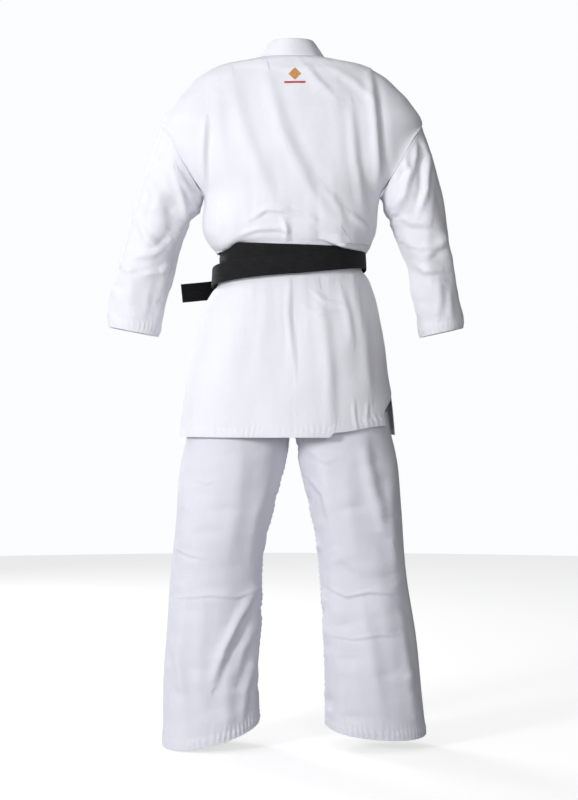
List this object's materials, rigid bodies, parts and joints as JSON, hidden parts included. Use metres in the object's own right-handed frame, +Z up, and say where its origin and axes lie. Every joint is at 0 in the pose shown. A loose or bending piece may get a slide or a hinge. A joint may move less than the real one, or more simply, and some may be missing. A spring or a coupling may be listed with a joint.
{
  "type": "martial arts uniform",
  "caption": "White wrap jacket, wound black belt and straight trousers shaped as worn, with jointed sleeves, skirts, legs and belt ends.",
  "frame": {"origin": "centre of the neck opening at the level where the collar leaves the jacket", "axes": "+Z up towards the head, -Y the front of the jacket, +X the wearer's left"},
  "size_m": [0.75, 0.2915, 1.4721],
  "materials": {
    "jacket_cotton": "matt white plain-weave cotton",
    "lapel_cotton": "matt white cotton, stitched in rows",
    "trouser_cotton": "matt white plain-weave cotton",
    "waistband": "gathered white cotton over elastic",
    "black_belt": "black cotton, stitched in rows",
    "emblem_orange": "embroidery",
    "emblem_red": "embroidery"
  },
  "bodies": {
    "uniform": {"back_panel_left": "jacket_cotton", "back_panel_right": "jacket_cotton", "front_panel_left": "jacket_cotton", "front_panel_right": "jacket_cotton", "shoulder_lining": "jacket_cotton", "collar_band": "lapel_cotton", "lapel_left": "lapel_cotton", "lapel_right": "lapel_cotton", "emblem_diamond": "emblem_orange", "emblem_bar": "emblem_red", "inner_tie_left": "jacket_cotton", "inner_tie_right": "jacket_cotton", "belt_inner_wrap": "black_belt", "belt_outer_wrap": "black_belt", "belt_knot": "black_belt", "trouser_waistband": "waistband", "trouser_seat_left": "trouser_cotton", "trouser_seat_right": "trouser_cotton", "crotch_gusset": "trouser_cotton"},
    "upper_sleeve_left": {"upper_sleeve_left": "jacket_cotton", "underarm_gusset_left": "jacket_cotton"},
    "upper_sleeve_right": {"upper_sleeve_right": "jacket_cotton", "underarm_gusset_right": "jacket_cotton"},
    "lower_sleeve_left": {"lower_sleeve_left": "jacket_cotton", "sleeve_hem_left": "jacket_cotton"},
    "lower_sleeve_right": {"lower_sleeve_right": "jacket_cotton", "sleeve_hem_right": "jacket_cotton"},
    "front_skirt": {"front_skirt_left": "jacket_cotton", "front_skirt_hem_left": "jacket_cotton", "front_skirt_right": "jacket_cotton", "front_skirt_hem_right": "jacket_cotton"},
    "back_skirt": {"back_skirt": "jacket_cotton", "back_skirt_hem": "jacket_cotton", "vent_patch_left": "jacket_cotton", "vent_patch_right": "jacket_cotton"},
    "thigh_left": {"thigh_left": "trouser_cotton"},
    "thigh_right": {"thigh_right": "trouser_cotton"},
    "lower_leg_left": {"lower_leg_left": "trouser_cotton", "leg_hem_left": "trouser_cotton"},
    "lower_leg_right": {"lower_leg_right": "trouser_cotton", "leg_hem_right": "trouser_cotton"},
    "belt_end_left": {"belt_end_left": "black_belt"},
    "belt_end_right": {"belt_end_right": "black_belt"}
  },
  "joints": [
    {"name": "shoulder_left", "type": "hinge", "parent": "uniform", "child": "upper_sleeve_left", "pos_m": [0.272, 0, -0.138], "axis": [0, -1, 0], "range_deg": [0, 60]},
    {"name": "shoulder_right", "type": "hinge", "parent": "uniform", "child": "upper_sleeve_right", "pos_m": [-0.272, 0, -0.138], "axis": [0, 1, 0], "range_deg": [0, 60]},
    {"name": "elbow_left", "type": "hinge", "parent": "upper_sleeve_left", "child": "lower_sleeve_left", "pos_m": [0.294, -0.028, -0.39], "axis": [-0.9975, 0, -0.07], "range_deg": [0, 70]},
    {"name": "elbow_right", "type": "hinge", "parent": "upper_sleeve_right", "child": "lower_sleeve_right", "pos_m": [-0.279, -0.028, -0.386], "axis": [-0.9972, 0, 0.075], "range_deg": [0, 70]},
    {"name": "front_skirt_lift", "type": "hinge", "parent": "uniform", "child": "front_skirt", "pos_m": [0, -0.107, -0.476], "axis": [-1, 0, 0], "range_deg": [0, 30]},
    {"name": "back_skirt_lift", "type": "hinge", "parent": "uniform", "child": "back_skirt", "pos_m": [0, 0.107, -0.476], "axis": [1, 0, 0], "range_deg": [0, 25]},
    {"name": "hip_left", "type": "hinge", "parent": "uniform", "child": "thigh_left", "pos_m": [0, -0.06, -0.79], "axis": [-1, 0, 0], "range_deg": [0, 40]},
    {"name": "hip_right", "type": "hinge", "parent": "uniform", "child": "thigh_right", "pos_m": [0, -0.06, -0.79], "axis": [-1, 0, 0], "range_deg": [0, 40]},
    {"name": "knee_left", "type": "hinge", "parent": "thigh_left", "child": "lower_leg_left", "pos_m": [0, 0.026, -1.068], "axis": [1, 0, 0], "range_deg": [0, 55]},
    {"name": "knee_right", "type": "hinge", "parent": "thigh_right", "child": "lower_leg_right", "pos_m": [0, 0.026, -1.068], "axis": [1, 0, 0], "range_deg": [0, 55]},
    {"name": "belt_end_left_swing", "type": "hinge", "parent": "uniform", "child": "belt_end_left", "pos_m": [0.038, -0.132, -0.448], "axis": [0, 0, -1], "range_deg": [0, 50]},
    {"name": "belt_end_right_swing", "type": "hinge", "parent": "uniform", "child": "belt_end_right", "pos_m": [-0.028, -0.134, -0.448], "axis": [0, 0, 1], "range_deg": [0, 50]}
  ]
}
